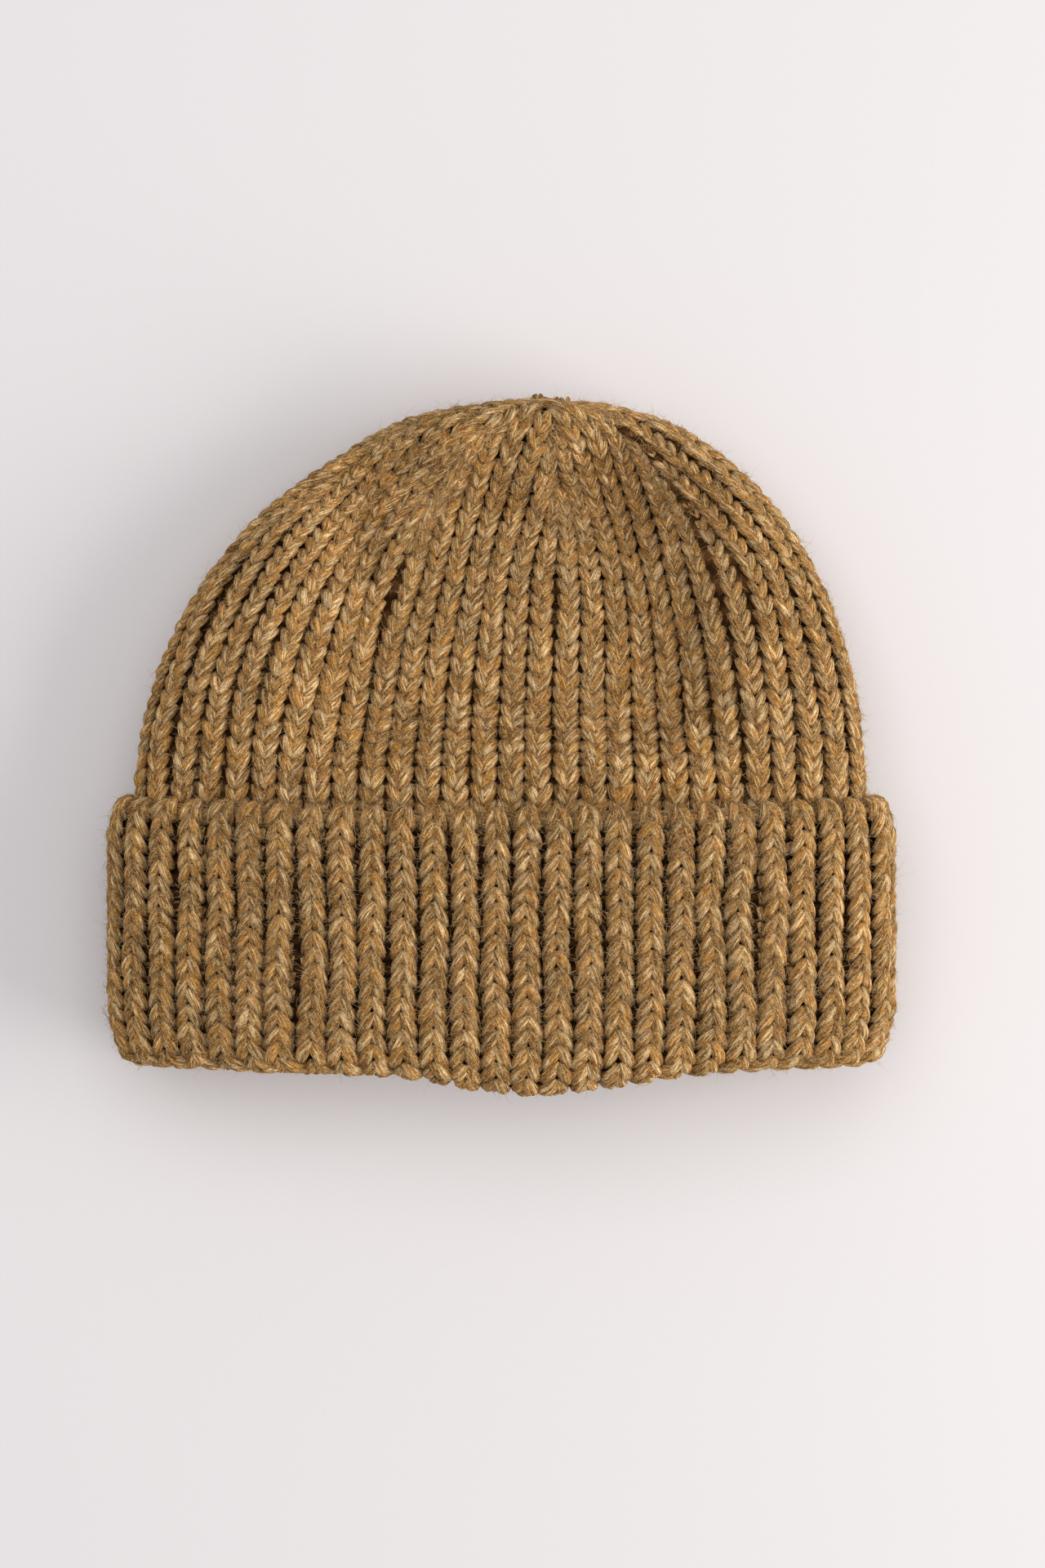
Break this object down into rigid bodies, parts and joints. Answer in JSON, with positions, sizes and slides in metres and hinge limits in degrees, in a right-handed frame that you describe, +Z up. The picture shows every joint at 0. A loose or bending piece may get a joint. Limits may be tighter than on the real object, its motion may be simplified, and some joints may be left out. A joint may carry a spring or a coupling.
{
  "type": "knitted beanie",
  "caption": "Chunky rib-knit beanie with a turned-up cuff, lying on its back, with a gored crown gathered at the tip.",
  "frame": {"origin": "centre of the footprint on the surface the hat lies on", "axes": "+X across the hat, +Y from the mouth to the tip of the crown, +Z up out of the front of the hat"},
  "size_m": [0.23, 0.202, 0.054],
  "materials": {
    "cuff_rib": "chunky one-by-one rib in heathered camel wool yarn, soft and matt",
    "crown_rib": "the same rib, finer towards the tip, soft and matt",
    "plain_yarn": "three-strand camel wool yarn"
  },
  "bodies": {
    "hat": {"cuff_back": "cuff_rib", "cuff_left_side": "cuff_rib", "cuff_right_side": "cuff_rib", "cast_on_edge_back": "cuff_rib", "brim_fold": "cuff_rib", "inner_band": "cuff_rib", "crown_gore_left_front": "crown_rib", "crown_gore_middle_left": "crown_rib", "crown_gore_middle_right": "crown_rib", "crown_gore_right_front": "crown_rib", "crown_gore_right_back": "crown_rib", "crown_gore_back_right": "crown_rib", "crown_gore_back_left": "crown_rib", "crown_gore_left_back": "crown_rib", "crown_gather": "plain_yarn", "crown_tail": "plain_yarn", "back_seam": "plain_yarn", "cast_on_tail": "plain_yarn"},
    "cuff_panel": {"cuff_front": "cuff_rib", "cast_on_edge_front": "cuff_rib"}
  },
  "joints": [
    {"name": "cuff_lift", "type": "hinge", "parent": "hat", "child": "cuff_panel", "pos_m": [0, -0.0877, 0.054], "axis": [1, 0, 0], "range_deg": [0, 35], "stiffness_Nm_per_rad": 0.02}
  ]
}
